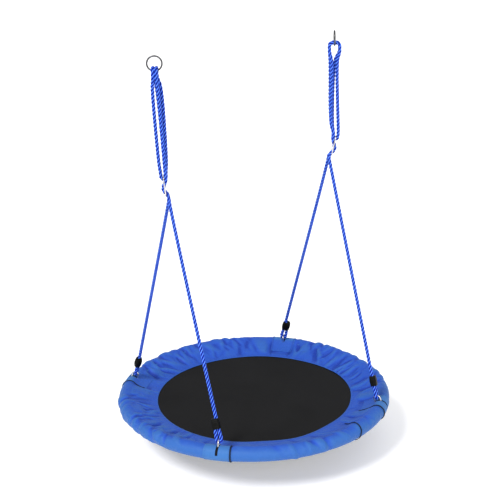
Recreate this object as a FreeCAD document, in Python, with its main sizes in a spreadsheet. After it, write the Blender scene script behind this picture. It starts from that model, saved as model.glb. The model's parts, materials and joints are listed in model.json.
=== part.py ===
"""Saucer nest swing, 1.1 m across: a padded tube ring with a fabric seat, hung on two doubled ropes.

Row frame: +X along the line between the two hanging rings, +Z up, millimetres.
The origin is midway between the two points where the hooks carry the rings.
"""

import FreeCAD
import Part
import Sketcher
import math
import os

Vector = FreeCAD.Vector
Placement = FreeCAD.Placement
Rotation = FreeCAD.Rotation

UP = Vector(0, 0, 1)

doc = FreeCAD.newDocument("SaucerSwing")

# ---------------------------------------------------------------- driving dimensions

SIZES = {
    # hanging height and span, from the hooks' seats in the rings down to the ring tube's centre
    "seat_drop": 1446,
    "hang_half_span": 389,
    # hanging rings, bent from round bar
    "hanger_outer": 62,
    "hanger_bar": 6.5,
    # the seat's tube ring and its padding
    "outer_diameter": 1100,
    "padded_diameter": 58,
    "cover_thickness": 1.6,
    "steel_diameter": 25,
    "steel_wall": 1.5,
    "joint_gap": 0.6,
    "spigot_degrees": 9,
    "pin_diameter": 5,
    "pin_depth": 6,
    # seat fabric
    "panel_radius": 392,
    "panel_drop": 13,
    "panel_sag": 9,
    "panel_thickness": 2.4,
    "web_lift_degrees": 40,
    "web_sag": 7,
    # welded eyes, reinforcing patches and their slots
    "eye_circle": 508,
    "eye_height": 36,
    "eye_bend": 12,
    "eye_bar": 6.5,
    "patch_length": 110,
    "patch_thickness": 3.2,
    "slot_length": 50,
    "slot_width": 13,
    # rope and its fittings
    "rope_diameter": 12,
    "bight_radius": 20,
    "bight_lift": 10.8,
    "loop_radius": 10,
    "clamp_start": 40,
    "clamp_length": 40,
    "clamp_wall": 1.6,
    "ferrule_wall": 1.0,
    "ferrule_setback": 4,
    "plate_height": 75,
    "plate_width": 44,
    "plate_thickness": 4,
    "plate_corner": 8,
    "hole_pitch": 25,
    "hole_length": 30,
    "hole_height": 13,
    # each side's adjuster is set by hand, so the two stand at different heights
    "left_plate_out": 366,
    "left_plate_up": 955,
    "left_split_out": 357,
    "left_split_up": 872,
    "right_plate_out": 384,
    "right_plate_up": 993,
    "right_split_out": 367,
    "right_split_up": 930,
}

sheet = doc.addObject("Spreadsheet::Sheet", "Sizes")
for row, (alias, value) in enumerate(SIZES.items(), start=1):
    sheet.set(f"A{row}", alias)
    sheet.set(f"B{row}", str(value))
    sheet.setAlias(f"B{row}", alias)
doc.recompute()


def size(alias):
    """A driving dimension, as a number."""
    return float(sheet.get(alias))


# ---------------------------------------------------------------- derived places

HANGER_MEAN = (size("hanger_outer") - size("hanger_bar")) / 2
HANGER_CENTRE_Z = -(HANGER_MEAN - size("hanger_bar") / 2)
HANGER_BAR_Z = HANGER_CENTRE_Z - HANGER_MEAN
SEAT_Z = -size("seat_drop")
PADDED_R = size("padded_diameter") / 2
RING_R = size("outer_diameter") / 2 - PADDED_R
STEEL_R = size("steel_diameter") / 2
ROPE_R = size("rope_diameter") / 2
# half the distance between two strands that lie side by side, and between the two bights on a ring
STRAND = ROPE_R + 0.15
BIGHT_LANE = ROPE_R + 0.3
SLOT_INWARD = 4
# the air left between pieces that lie one inside the other
CLEARANCE = 0.1

# where the cover's sleeve is closed, in degrees round the padded section from its outermost side
CLOSURE_START = 206
CLOSURE_END = 238
TAPE_LAP = 7
TAPE_THICKNESS = 1.7

# where the eye patches begin and end round the padded section, and how far the web's seam runs down it
PATCH_BEGIN = 119
PATCH_END = -95
WEB_SEAM_DEGREES = 12

# the hanging rings have turned on their hooks by a third of a right angle:
# ACROSS lies across the left ring's face, ALONG along its normal, and the right ring is a quarter turn on
YAW = math.radians(30)
ACROSS = Vector(math.cos(YAW), -math.sin(YAW), 0)
ALONG = Vector(math.sin(YAW), math.cos(YAW), 0)

EYE_ANGLES = {"left_rear": 135, "left_front": 225, "right_front": 315, "right_rear": 45}


# ---------------------------------------------------------------- small helpers


def bind(obj, **expressions):
    """Set properties of obj by expressions on the sheet; a double underscore stands for a dot."""
    for prop, expression in expressions.items():
        obj.setExpression(prop.replace("__", "."), expression)
    return obj


def sub_part(obj, label, placement=None):
    """Name a finished sub-part and put it in place."""
    obj.Label = label
    if placement is not None:
        obj.Placement = placement
    NODES.append(obj)
    return obj


NODES = []


def origin_plane(body, role):
    return next(f for f in body.Origin.OriginFeatures if f.Role == role)


def new_body(name):
    return doc.addObject("PartDesign::Body", name)


def new_sketch(body, name, role="XZ_Plane"):
    sketch = body.newObject("Sketcher::SketchObject", name)
    sketch.AttachmentSupport = [(origin_plane(body, role), "")]
    sketch.MapMode = "FlatFace"
    return sketch


def flat(x, y):
    return Vector(x, y, 0)


def add_circle(sketch, x, y, alias_or_value, expression=None):
    """A circle in a sketch with its radius held by a constraint, on the sheet where one is given."""
    index = sketch.addGeometry(Part.Circle(flat(x, y), UP, alias_or_value), False)
    constraint = sketch.addConstraint(Sketcher.Constraint("Radius", index, alias_or_value))
    if expression:
        sketch.setExpression(f"Constraints[{constraint}]", expression)
    return index


def add_rectangle(sketch, half_x, half_y, cx=0.0, cy=0.0):
    corners = [
        flat(cx - half_x, cy - half_y),
        flat(cx + half_x, cy - half_y),
        flat(cx + half_x, cy + half_y),
        flat(cx - half_x, cy + half_y),
    ]
    for start, end in zip(corners, corners[1:] + corners[:1]):
        sketch.addGeometry(Part.LineSegment(start, end), False)


def add_stadium(sketch, half_length, radius, cy=0.0):
    """A slot shape along the sketch's X: two straight sides and two round ends."""
    flank = half_length - radius
    sketch.addGeometry(Part.LineSegment(flat(-flank, cy - radius), flat(flank, cy - radius)), False)
    sketch.addGeometry(
        Part.Arc(flat(flank, cy - radius), flat(flank + radius, cy), flat(flank, cy + radius)), False
    )
    sketch.addGeometry(Part.LineSegment(flat(flank, cy + radius), flat(-flank, cy + radius)), False)
    sketch.addGeometry(
        Part.Arc(flat(-flank, cy + radius), flat(-flank - radius, cy), flat(-flank, cy - radius)), False
    )


def revolve(body, sketch, degrees, name):
    """A revolution about the sketch's vertical axis, symmetric about its plane."""
    feature = body.newObject("PartDesign::Revolution", name)
    feature.Profile = sketch
    feature.ReferenceAxis = (sketch, ["V_Axis"])
    feature.Angle = degrees
    feature.Midplane = True
    sketch.Visibility = False
    return feature


def pad(body, sketch, length, name):
    """A pad that stands equally on both sides of its sketch."""
    feature = body.newObject("PartDesign::Pad", name)
    feature.Profile = sketch
    feature.Length = length
    feature.Midplane = True
    return feature


def pocket(body, sketch, name):
    """A cut right through the body, both ways from the sketch."""
    feature = body.newObject("PartDesign::Pocket", name)
    feature.Profile = sketch
    feature.Type = "ThroughAll"
    feature.Midplane = True
    return feature


def frame_at(origin, x_axis, y_axis, z_axis):
    """A placement whose local axes are the three given ones."""
    return Placement(origin, Rotation(x_axis, y_axis, z_axis, "ZXY"))


def at_seat(degrees=0.0):
    """A placement on the tube ring's centre, turned about the vertical."""
    return Placement(Vector(0, 0, SEAT_Z), Rotation(UP, degrees))


def seat_point(angle_degrees, radius, height):
    angle = math.radians(angle_degrees)
    return Vector(radius * math.cos(angle), radius * math.sin(angle), SEAT_Z + height)


# ---------------------------------------------------------------- rope geometry


def rounded_route(points):
    """A wire of straight runs joined by tangent arcs. points is a list of (place, arc radius or None)."""
    edges = []
    cursor = points[0][0]
    for i in range(1, len(points) - 1):
        corner, radius = points[i]
        back = (points[i - 1][0] - corner).normalize()
        on = (points[i + 1][0] - corner).normalize()
        half_turn = (math.pi - back.getAngle(on)) / 2
        shorter = min((points[i - 1][0] - corner).Length, (points[i + 1][0] - corner).Length)
        if radius is None:
            radius = 0.45 * shorter / math.tan(half_turn)
        reach = radius * math.tan(half_turn)
        middle = (back + on).normalize() * (radius / math.cos(half_turn) - radius)
        start = corner + back * reach
        end = corner + on * reach
        if (start - cursor).Length > 1e-4:
            edges.append(Part.LineSegment(cursor, start).toShape())
        edges.append(Part.Arc(start, corner + middle, end).toShape())
        ARC_RADII.append(radius)
        cursor = end
    edges.append(Part.LineSegment(cursor, points[-1][0]).toShape())
    return Part.Wire(edges)


ARC_RADII = []


def rope_along(wire, name):
    """A round rope swept along a wire, with its volume compared with section times length."""
    first = wire.Edges[0]
    start = first.valueAt(first.FirstParameter)
    heading = first.tangentAt(first.FirstParameter)
    section = Part.Wire(Part.Circle(start, heading, ROPE_R).toShape())
    solid = wire.makePipeShell([section], True, True)
    expected = math.pi * ROPE_R**2 * wire.Length
    if abs(solid.Volume / expected - 1) > 0.02:
        raise RuntimeError(f"{name}: rope volume {solid.Volume:.0f}, expected {expected:.0f}")
    print(f"{name}: {wire.Length:.0f} mm, tightest arc {min(ARC_RADII):.1f} mm")
    ARC_RADII.clear()
    return solid


def add_shape(shape, label):
    feature = doc.addObject("Part::Feature", label)
    feature.Shape = shape
    return sub_part(feature, label)


# ---------------------------------------------------------------- hanging rings


def ring_axes(side):
    """The hanging ring's bar direction at its foot, and its normal, which the rope's bights straddle."""
    if side == "left":
        return ACROSS, ALONG
    return ALONG, ACROSS


def hanging_ring(side):
    body = new_body(f"{side}_top_ring_body")
    sketch = new_sketch(body, f"{side}_ring_bar")
    add_circle(sketch, HANGER_MEAN, 0, size("hanger_bar") / 2, "Sizes.hanger_bar / 2")
    revolve(body, sketch, 360, f"{side}_ring_bend")
    sign = -1 if side == "left" else 1
    centre = Vector(sign * size("hang_half_span"), 0, HANGER_CENTRE_Z)
    bar, _normal = ring_axes(side)
    return sub_part(body, f"{side}_top_ring", frame_at(centre, bar, UP, bar.cross(UP)))


# ---------------------------------------------------------------- tube ring inside the padding

PIN_RECESS = 0.4


def frame_tube(name, degrees):
    """A quarter of the ring, rolled from steel tube."""
    body = new_body(f"{name}_body")
    sketch = new_sketch(body, f"{name}_section")
    add_circle(sketch, RING_R, 0, STEEL_R, "Sizes.steel_diameter / 2")
    add_circle(sketch, RING_R, 0, STEEL_R - size("steel_wall"), "Sizes.steel_diameter / 2 - Sizes.steel_wall")
    gap = math.degrees(size("joint_gap") / RING_R)
    revolve(body, sketch, 90 - gap, f"{name}_roll")
    body.Placement = at_seat(degrees)
    holes = []
    for finish, turn in (("start", -1), ("finish", 1)):
        holes.append(joint_pin(f"{name}_{finish}_hole", degrees + turn * (45 - size("spigot_degrees") / 4)))
    tool = doc.addObject("Part::Compound", f"{name}_holes")
    tool.Links = holes
    cut = doc.addObject("Part::Cut", f"{name}_drilled")
    cut.Base = body
    cut.Tool = tool
    return sub_part(cut, name)


def joint_pin(name, degrees, recess=0.0):
    """A pin that stands up through the bottom wall of the tube and into its spigot."""
    pin = doc.addObject("Part::Cylinder", name)
    bind(pin, Radius="Sizes.pin_diameter / 2", Height=f"Sizes.pin_depth - {recess}")
    pin.Placement = Placement(seat_point(degrees, RING_R, recess - STEEL_R), Rotation())
    return pin


def joint_spigots():
    """Four short plugs, one inside each joint of the tube ring, bored for its two pins."""
    plugs = []
    sweep = size("spigot_degrees")
    for n in range(4):
        plug = doc.addObject("Part::Torus", f"spigot_{n}")
        bind(
            plug,
            Radius1="(Sizes.outer_diameter - Sizes.padded_diameter) / 2",
            Radius2=f"Sizes.steel_diameter / 2 - Sizes.steel_wall - {CLEARANCE}",
            Angle3="Sizes.spigot_degrees",
        )
        plug.Placement = at_seat(90 * n - sweep / 2)
        plugs.append(plug)
    blank = doc.addObject("Part::Compound", "spigot_blanks")
    blank.Links = plugs
    tool = doc.addObject("Part::Compound", "spigot_bores")
    tool.Links = [
        joint_pin(f"spigot_bore_{n}_{turn}", 90 * n + turn * sweep / 4) for n in range(4) for turn in (-1, 1)
    ]
    cut = doc.addObject("Part::Cut", "spigots_bored")
    cut.Base = blank
    cut.Tool = tool
    return sub_part(cut, "frame_joint_spigots")


def joint_pins():
    """Eight pins, two to a joint, set in so that their flat ends stay inside the tube's round outside."""
    sweep = size("spigot_degrees")
    group = doc.addObject("Part::Compound", "joint_pin_group")
    pins = []
    for n in range(4):
        for turn in (-1, 1):
            pins.append(joint_pin(f"pin_{n}_{turn}", 90 * n + turn * sweep / 4, PIN_RECESS))
    group.Links = pins
    return sub_part(group, "frame_joint_pins")


# ---------------------------------------------------------------- welded eyes


def leg_direction(place):
    """Unit vector from an eye's top bar up its rope leg, and the horizontal tangent of the tube there."""
    side = place.split("_")[0]
    sign = -1 if side == "left" else 1
    angle = EYE_ANGLES[place]
    split = Vector(
        sign * size(f"{side}_split_out"),
        math.copysign(2, math.sin(math.radians(angle))),
        SEAT_Z + size(f"{side}_split_up"),
    )
    centre = seat_point(angle, size("eye_circle"), size("eye_height"))
    up = (split - centre).normalize()
    tangent = Vector(-math.sin(math.radians(angle)), math.cos(math.radians(angle)), 0)
    lean = (up - tangent * up.dot(tangent)).normalize()
    bar = centre + lean * size("eye_bend")
    return split, bar, (split - bar).normalize(), tangent, lean


def frame_eye(place):
    """A U of round bar that stands astride the tube, leaning the way its rope pulls."""
    _split, bar, _up, tangent, lean = leg_direction(place)
    centre = bar - lean * size("eye_bend")
    side = lean.cross(tangent)
    down = side.cross(tangent)
    pieces = []
    bow = doc.addObject("Part::Torus", f"{place}_eye_bow")
    bind(bow, Radius1="Sizes.eye_bend", Radius2="Sizes.eye_bar / 2")
    bow.Angle3 = 180
    bow.Placement = frame_at(centre, side, lean, side.cross(lean))
    pieces.append(bow)
    for n, offset in enumerate((-1, 1)):
        leg = doc.addObject("Part::Cylinder", f"{place}_eye_leg_{n}")
        bind(leg, Radius="Sizes.eye_bar / 2", Height="Sizes.eye_height - 1")
        leg.Placement = frame_at(centre + side * (offset * size("eye_bend")), side, tangent, down)
        pieces.append(leg)
    fused = doc.addObject("Part::MultiFuse", f"{place}_eye_bar")
    fused.Shapes = pieces
    tube = doc.addObject("Part::Torus", f"{place}_eye_saddle")
    bind(
        tube,
        Radius1="(Sizes.outer_diameter - Sizes.padded_diameter) / 2",
        Radius2="Sizes.steel_diameter / 2",
    )
    tube.Placement = at_seat()
    cut = doc.addObject("Part::Cut", f"{place}_eye_cut")
    cut.Base = fused
    cut.Tool = tube
    return sub_part(cut, f"{place}_frame_eye")


def slot_cutter(place, name):
    """The radial opening in foam, cover and patch that an eye stands in: a sector of a thick tube."""
    sweep = math.degrees(size("slot_width") / RING_R)
    shells = []
    for shell, reach in (("outer", "+"), ("inner", "-")):
        post = doc.addObject("Part::Cylinder", f"{name}_{shell}")
        middle = f"(Sizes.outer_diameter - Sizes.padded_diameter) / 2 - {SLOT_INWARD}"
        bind(post, Radius=f"{middle} {reach} Sizes.slot_length / 2", Height="Sizes.padded_diameter")
        post.Angle = sweep
        shells.append(post)
    sector = doc.addObject("Part::Cut", name)
    sector.Base, sector.Tool = shells
    foot = Vector(0, 0, SEAT_Z - SLOT_INWARD)
    sector.Placement = Placement(foot, Rotation(UP, EYE_ANGLES[place] - sweep / 2))
    return sector


def slotted(base, places, label):
    tools = [slot_cutter(place, f"{label}_slot_{place}") for place in places]
    tool = tools[0]
    if len(tools) > 1:
        tool = doc.addObject("Part::Compound", f"{label}_slots")
        tool.Links = tools
    cut = doc.addObject("Part::Cut", f"{label}_slotted")
    cut.Base = base
    cut.Tool = tool
    return sub_part(cut, label)


# ---------------------------------------------------------------- padding and seat fabric

FOAM_GAP_DEGREES = 0.2


def foam_sleeve(place):
    """Slit foam tubing over one quarter of the ring."""
    label = f"{place}_foam_sleeve"
    body = new_body(f"{label}_body")
    sketch = new_sketch(body, f"{label}_section")
    outer = PADDED_R - size("cover_thickness") - CLEARANCE
    add_circle(
        sketch, RING_R, 0, outer, f"Sizes.padded_diameter / 2 - Sizes.cover_thickness - {CLEARANCE}"
    )
    add_circle(sketch, RING_R, 0, STEEL_R + CLEARANCE, f"Sizes.steel_diameter / 2 + {CLEARANCE}")
    revolve(body, sketch, 90 - FOAM_GAP_DEGREES, f"{label}_roll")
    body.Placement = at_seat(EYE_ANGLES[place])
    return slotted(body, [place], label)


def on_pad(radius, degrees):
    """A point of the padded section, at an angle from its outermost side."""
    return flat(RING_R + radius * math.cos(math.radians(degrees)), radius * math.sin(math.radians(degrees)))


def cover_sleeve():
    """The cover's sleeve round the padding, open along its inner underside where the tape bridges it."""
    body = new_body("cover_sleeve_body")
    sketch = new_sketch(body, "sleeve_section")
    inside = PADDED_R - size("cover_thickness")
    first = CLOSURE_END - 360
    opposite = (first + CLOSURE_START) / 2
    outer = [on_pad(PADDED_R, at) for at in (first, opposite, CLOSURE_START)]
    inner = [on_pad(inside, at) for at in (CLOSURE_START, opposite, first)]
    sketch.addGeometry(Part.Arc(*outer), False)
    sketch.addGeometry(Part.LineSegment(outer[-1], inner[0]), False)
    sketch.addGeometry(Part.Arc(*inner), False)
    sketch.addGeometry(Part.LineSegment(inner[-1], outer[0]), False)
    revolve(body, sketch, 360, "sleeve_round")
    body.Placement = at_seat()
    return slotted(body, list(EYE_ANGLES), "cover_sleeve")


def cover_web():
    """The cover's web: sewn along the top of the sleeve, it runs inward and dips to the centre panel."""
    body = new_body("cover_web_body")
    sketch = new_sketch(body, "web_section")
    wall = size("cover_thickness")
    lift = 90 + size("web_lift_degrees")
    seam_top = flat(size("panel_radius"), -size("panel_drop") + wall)
    seam_low = flat(size("panel_radius"), -size("panel_drop"))
    web_top, web_seat, web_low = (on_pad(PADDED_R, lift + WEB_SEAM_DEGREES * share) for share in (0, 0.5, 1))
    chord = (seam_top - web_top).normalize()
    below = flat(-chord.y, chord.x)
    top_middle = (web_top + seam_top) * 0.5 + below * size("web_sag")
    low_middle = top_middle + below * wall
    sketch.addGeometry(Part.Arc(web_top, web_seat, web_low), False)
    sketch.addGeometry(Part.Arc(web_low, low_middle, seam_low), False)
    sketch.addGeometry(Part.LineSegment(seam_low, seam_top), False)
    sketch.addGeometry(Part.Arc(seam_top, top_middle, web_top), False)
    revolve(body, sketch, 360, "web_round")
    body.Placement = at_seat()
    return slotted(body, list(EYE_ANGLES), "cover_web")


def centre_panel():
    """The woven centre panel, a shallow dish that hangs from the cover's inner seam."""
    body = new_body("centre_panel_body")
    sketch = new_sketch(body, "panel_section")
    rim = size("panel_radius")
    top = -size("panel_drop") + size("cover_thickness")
    sag = size("panel_sag")
    low = top - size("panel_thickness")
    # a shallow spherical dish, so both arcs are centred on the axis
    dish_radius = (rim**2 + sag**2) / (2 * sag)
    half_way = math.asin(rim / dish_radius) / 2

    def dish(height):
        """The dish's centre, half-way and rim points, with its rim at a height."""
        pole = height - sag
        middle = flat(dish_radius * math.sin(half_way), pole + dish_radius * (1 - math.cos(half_way)))
        return flat(0, pole), middle, flat(rim, height)

    upper = dish(top)
    lower = dish(low)
    sketch.addGeometry(Part.Arc(*upper), False)
    sketch.addGeometry(Part.LineSegment(upper[2], lower[2]), False)
    sketch.addGeometry(Part.Arc(*lower[::-1]), False)
    sketch.addGeometry(Part.LineSegment(lower[0], upper[0]), False)
    revolve(body, sketch, 360, "panel_round")
    return sub_part(body, "centre_panel", at_seat())


def add_band_section(sketch, inner, outer, begin, end):
    """The section of a band that lies round the padding between two radii and two angles."""
    middle = (begin + end) / 2
    sketch.addGeometry(Part.Arc(on_pad(outer, begin), on_pad(outer, middle), on_pad(outer, end)), False)
    sketch.addGeometry(Part.LineSegment(on_pad(outer, end), on_pad(inner, end)), False)
    sketch.addGeometry(Part.Arc(on_pad(inner, end), on_pad(inner, middle), on_pad(inner, begin)), False)
    sketch.addGeometry(Part.LineSegment(on_pad(inner, begin), on_pad(outer, begin)), False)


def eye_patch(place):
    """A reinforcing patch sewn over the cover, round the top and the outside of the padding."""
    label = f"{place}_eye_patch"
    body = new_body(f"{label}_body")
    sketch = new_sketch(body, f"{label}_section")
    inner = PADDED_R + CLEARANCE
    outer = PADDED_R + size("patch_thickness")
    add_band_section(sketch, inner, outer, PATCH_BEGIN, PATCH_END)
    revolve(body, sketch, math.degrees(size("patch_length") / RING_R), f"{label}_roll")
    body.Placement = at_seat(EYE_ANGLES[place])
    return slotted(body, [place], label)


def closure_tape():
    """The hook-and-loop tape that closes the cover's sleeve under its inner edge."""
    body = new_body("cover_closure_tape_body")
    sketch = new_sketch(body, "tape_section")
    inner = PADDED_R + CLEARANCE
    add_band_section(sketch, inner, inner + TAPE_THICKNESS, CLOSURE_START - TAPE_LAP, CLOSURE_END + TAPE_LAP)
    revolve(body, sketch, 360, "tape_round")
    return sub_part(body, "cover_closure_tape", at_seat())


# ---------------------------------------------------------------- adjuster plates


def plate_frame(side):
    """The adjuster plate's centre and its three axes: face normal, width and length."""
    sign = -1 if side == "left" else 1
    centre = Vector(sign * size(f"{side}_plate_out"), 0, SEAT_Z + size(f"{side}_plate_up"))
    below = Vector(sign * size(f"{side}_split_out"), 0, SEAT_Z + size(f"{side}_split_up"))
    length = (centre - below).normalize()
    width = (ALONG - length * ALONG.dot(length)).normalize()
    return centre, width.cross(length), width, length


def adjuster_plate(side):
    """A steel plate with three oval holes that grips the rope threaded through it."""
    centre, _normal, width, length = plate_frame(side)
    body = new_body(f"{side}_plate_body")
    outline = new_sketch(body, f"{side}_plate_outline", "XY_Plane")
    add_rectangle(outline, size("plate_width") / 2, size("plate_height") / 2)
    slab = pad(body, outline, size("plate_thickness"), f"{side}_plate_slab")
    bind(slab, Length="Sizes.plate_thickness")
    doc.recompute()
    corners = [
        f"Edge{i + 1}"
        for i, edge in enumerate(slab.Shape.Edges)
        if abs(edge.Length - size("plate_thickness")) < 1e-6
    ]
    rounding = body.newObject("PartDesign::Fillet", f"{side}_plate_corners")
    rounding.Base = (slab, corners)
    bind(rounding, Radius="Sizes.plate_corner")
    holes = new_sketch(body, f"{side}_plate_holes", "XY_Plane")
    for step in (-1, 0, 1):
        add_stadium(holes, size("hole_length") / 2, size("hole_height") / 2, step * size("hole_pitch"))
    pocket(body, holes, f"{side}_plate_punch")
    return sub_part(body, f"{side}_adjuster_plate", frame_at(centre, width, length, width.cross(length)))


# ---------------------------------------------------------------- rope clamps

CLAMP_EDGE_R = 1.2


def clamp_frame(place):
    _split, bar, up, tangent, _lean = leg_direction(place)
    across = (tangent - up * tangent.dot(up)).normalize()
    return bar, up, across


def stadium_sleeve(label, bore_half, bore_radius, wall, length, edge_radius):
    """An oval sleeve round an oval bore, centred on its own origin, its length along Z."""
    body = new_body(f"{label}_body")
    outline = new_sketch(body, f"{label}_outline", "XY_Plane")
    add_stadium(outline, bore_half + wall, bore_radius + wall)
    solid = pad(body, outline, length, f"{label}_pad")
    doc.recompute()
    if edge_radius:
        ends = [
            f"Edge{i + 1}"
            for i, edge in enumerate(solid.Shape.Edges)
            if abs(abs(edge.CenterOfMass.z) - length / 2) < 1e-6
        ]
        rounding = body.newObject("PartDesign::Fillet", f"{label}_edges")
        rounding.Base = (solid, ends)
        rounding.Radius = edge_radius
    bore = new_sketch(body, f"{label}_bore", "XY_Plane")
    add_stadium(bore, bore_half, bore_radius)
    pocket(body, bore, f"{label}_hollow")
    return body


def rope_clamp(place):
    """A pressed steel ferrule over both parts of the rope, inside a moulded plastic cover."""
    bar, up, across = clamp_frame(place)
    middle = bar + up * (size("clamp_start") + size("clamp_length") / 2)
    placement = frame_at(middle, across, up.cross(across), up)
    half = STRAND + ROPE_R + CLEARANCE
    radius = ROPE_R + CLEARANCE
    wall = size("ferrule_wall")
    length = size("clamp_length") - 2 * size("ferrule_setback")
    ferrule = stadium_sleeve(f"{place}_ferrule", half, radius, wall, length, 0)
    sub_part(ferrule, f"{place}_ferrule", placement)
    skin = wall + CLEARANCE / 2
    cover = stadium_sleeve(
        f"{place}_clamp_cover",
        half + skin,
        radius + skin,
        size("clamp_wall"),
        size("clamp_length"),
        CLAMP_EDGE_R,
    )
    return sub_part(cover, f"{place}_clamp_cover", placement)


# ---------------------------------------------------------------- ropes

# Each rope hangs in four strands between its ring and its adjuster: "front" and "rear" run on
# through the adjuster into the two legs, and "near" and "far" are the two halves of the bight that
# turns through the adjuster's top hole. Offsets are millimetres across and along the turned axes.
# Each entry: offset at the ring (along its bar, off its plane), below the ring, above the plate.
STRANDS = {
    "left": {
        "near": ((-1, -1), (-15, -8), (-14, -3)),
        "front": ((1, -1), (8, -13), (8, -14)),
        "far": ((1, 1), (21, 3), (17, 0)),
        "rear": ((-1, 1), (3, 14), (6, 14)),
    },
    "right": {
        "near": ((-1, 1), (7, -4), (9, 0)),
        "front": ((-1, -1), (-9, -8), (-17, -9)),
        "far": ((1, 1), (-4, 9), (-9, 2)),
        "rear": ((1, -1), (-17, 5), (-15, 14)),
    },
}
BIGHT_DROP = 18
BELOW_RING = 65
ABOVE_PLATE = 60
PLATE_STANDOFF = 8.3
TOP_TURN_R = 9.6


def strand_top(side, strand):
    """Where a strand leaves the bight on the ring, straight down, and the route points under it."""
    sign = -1 if side == "left" else 1
    bar, normal = ring_axes(side)
    foot = Vector(sign * size("hang_half_span"), 0, HANGER_BAR_Z)
    (lane, face), high, low = STRANDS[side][strand]
    rise = UP * (size("bight_lift") - size("bight_radius"))
    start = foot + bar * (lane * BIGHT_LANE) + normal * (face * size("bight_radius")) + rise
    below = start - UP * BIGHT_DROP
    centre, _normal, _width, length = plate_frame(side)
    plate_top = centre + length * (size("plate_height") / 2)
    axis = (plate_top - foot).normalize()
    upper = foot + axis * BELOW_RING + ACROSS * high[0] + ALONG * high[1]
    lower = plate_top - axis * ABOVE_PLATE + ACROSS * low[0] + ALONG * low[1]
    return [start, below, upper, lower]


def ring_bights(side):
    """Two half turns of rope over the bar at the foot of the hanging ring."""
    turns = []
    for lane in (-1, 1):
        first, second = (strand_top(side, name)[0] for name, at in STRANDS[side].items() if at[0][0] == lane)
        crown = (first + second) * 0.5 + UP * size("bight_radius")
        arc = Part.Wire([Part.Arc(first, crown, second).toShape()])
        ARC_RADII.append(size("bight_radius"))
        turns.append(rope_along(arc, f"{side} ring bight"))
    return add_shape(Part.Compound(turns), f"{side}_ring_bights")


def middle_rope(side):
    """The rope's middle: down one strand, through the adjuster's top hole and up the other."""
    centre, normal, _width, length = plate_frame(side)
    inner = 1 if side == "left" else -1
    web = centre + length * ((size("plate_height") / 2 + size("hole_pitch") + size("hole_height") / 2) / 2)
    bottom = web - length * TOP_TURN_R
    points = []
    for strand, face in (("far", inner), ("near", -inner)):
        entry = web + normal * (face * TOP_TURN_R) + length * (2 * ROPE_R)
        corner = bottom + normal * (face * TOP_TURN_R)
        run = [(spot, None) for spot in strand_top(side, strand)] + [(entry, None), (corner, TOP_TURN_R)]
        points += run if strand == "far" else run[::-1]
    return add_shape(rope_along(rounded_route(points), f"{side} middle"), f"{side}_middle_rope")


def leg_rope(side, end):
    """A strand from the ring, woven through the adjuster, then down a leg and looped through its eye."""
    place = f"{side}_{end}"
    centre, normal, width, length = plate_frame(side)
    inner = 1 if side == "left" else -1
    lane = -1 if end == "front" else 1

    def at_plate(out, wide, high):
        return centre + normal * (inner * out) + width * (lane * wide) + length * high

    split = leg_direction(place)[0]
    bar, up, across = clamp_frame(place)
    if across.y * lane < 0:
        across = across * -1
    grip = size("clamp_start")
    top = grip + size("clamp_length")
    standing = across * STRAND
    tail = across * -STRAND
    # the loop's sides flare from the clamp's mouth until they touch a circle round the eye's bar
    loop_radius = size("loop_radius")
    flare = math.atan2(grip, STRAND) - math.acos(loop_radius / math.hypot(STRAND, grip))
    corner_out = across * (STRAND + (grip + loop_radius) * math.tan(flare))
    foot = up * -loop_radius
    points = [(spot, None) for spot in strand_top(side, end)]
    points += [
        (at_plate(PLATE_STANDOFF, 12.5, 46), None),
        (at_plate(PLATE_STANDOFF, 12.5, 20), 20),
        (at_plate(-13, 6.3, -12.5), 18),
        (at_plate(PLATE_STANDOFF + 2, 6.3, -42), None),
        (split + standing, None),
        (bar + up * grip + standing, 60),
        (bar + foot + corner_out, loop_radius),
        (bar + foot - corner_out, loop_radius),
        (bar + up * grip + tail, 60),
        (bar + up * (top - 3) + tail, None),
    ]
    return add_shape(rope_along(rounded_route(points), f"{place} leg"), f"{place}_rope")


# ---------------------------------------------------------------- the whole swing


for place, degrees in EYE_ANGLES.items():
    frame_tube(f"{place}_frame_tube", degrees)
    frame_eye(place)
    foam_sleeve(place)
    eye_patch(place)
    rope_clamp(place)

joint_spigots()
joint_pins()
cover_sleeve()
cover_web()
centre_panel()
closure_tape()

for side in ("left", "right"):
    hanging_ring(side)
    adjuster_plate(side)
    ring_bights(side)
    middle_rope(side)
    for end in ("front", "rear"):
        leg_rope(side, end)

doc.recompute()

for obj in doc.Objects:
    if "Invalid" in obj.State or "Error" in obj.State:
        raise RuntimeError(f"{obj.Label} failed: {obj.State}")

os.makedirs("parts", exist_ok=True)
for node in NODES:
    shape = node.Shape
    if shape.isNull() or not shape.isValid() or shape.Volume <= 0:
        raise RuntimeError(f"{node.Label} has no valid shape")
for node in NODES:
    node.Shape.exportStep(f"parts/{node.Label}.step")
print(f"{len(NODES)} nodes written")
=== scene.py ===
"""Saucer nest swing: fabric seat on a padded ring, twisted ropes, steel rings and adjusters.

Metres in the CAD row frame: +X from the left hanging ring to the right one, +Z up, origin midway
between the hooks' seats.
"""

import json
import math
from math import cos, pi, radians, sin

import bpy
import numpy as np
from mathutils import Matrix, Vector
from mathutils.bvhtree import BVHTree


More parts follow.
